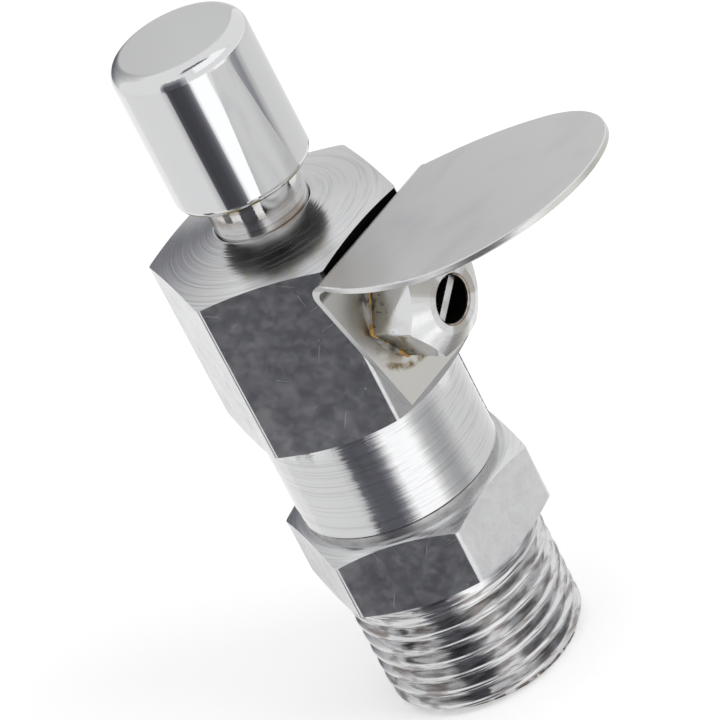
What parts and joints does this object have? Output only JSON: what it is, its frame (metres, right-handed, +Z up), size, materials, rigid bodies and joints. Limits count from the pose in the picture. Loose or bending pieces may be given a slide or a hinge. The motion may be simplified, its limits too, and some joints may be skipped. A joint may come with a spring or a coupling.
{
  "type": "drinking fountain bubbler",
  "caption": "Push-button drinking fountain bubbler: hexagonal chrome body with a sprung stem valve, threaded inlet nipple, hexagonal jet nozzle and a folded sheet mouth guard.",
  "frame": {"origin": "on the valve axis, at the underside of the lower hexagon, where the inlet thread ends", "axes": "+Z up the valve axis towards the button, -Y out of the jet nozzle, under the mouth guard, +X completes the frame"},
  "size_m": [0.0254, 0.0532, 0.0751],
  "materials": {
    "body_chrome": "bright chrome plate over turned brass, with scratches on the flats",
    "nipple_chrome": "bright chrome plate over turned brass, worn and stained on the thread",
    "button_chrome": "mirror chrome plate",
    "stem_chrome": "polished chrome plate",
    "nozzle_chrome": "bright chrome plate with traces of sealant at the base",
    "guard_sheet": "satin plated sheet",
    "brass": "bare turned brass",
    "steel": "stainless steel",
    "seal_rubber": "black nitrile rubber",
    "fibre": "red-brown vulcanised fibre"
  },
  "bodies": {
    "housing": {"body": "body_chrome", "inlet_nipple": "nipple_chrome", "body_gasket": "steel", "valve_seat": "brass", "seat_gasket": "fibre", "return_spring": "steel", "spring_seat": "brass", "strainer_screen": "steel", "strainer_clip": "steel", "nozzle": "nozzle_chrome", "nozzle_washer": "fibre", "jet_divider": "steel", "mouth_guard": "guard_sheet"},
    "plunger": {"push_button": "button_chrome", "stem": "stem_chrome", "upper_o_ring": "seal_rubber", "lower_o_ring": "seal_rubber", "valve_washer": "seal_rubber", "washer_holder": "brass", "lock_washer": "steel", "washer_nut": "brass"}
  },
  "joints": [
    {"name": "button_press", "type": "slide", "parent": "housing", "child": "plunger", "axis": [0, 0, -1], "range_m": [0, 0.004], "stiffness_N_per_m": 600, "springref_m": -0.01, "deforming": ["return_spring"]}
  ]
}
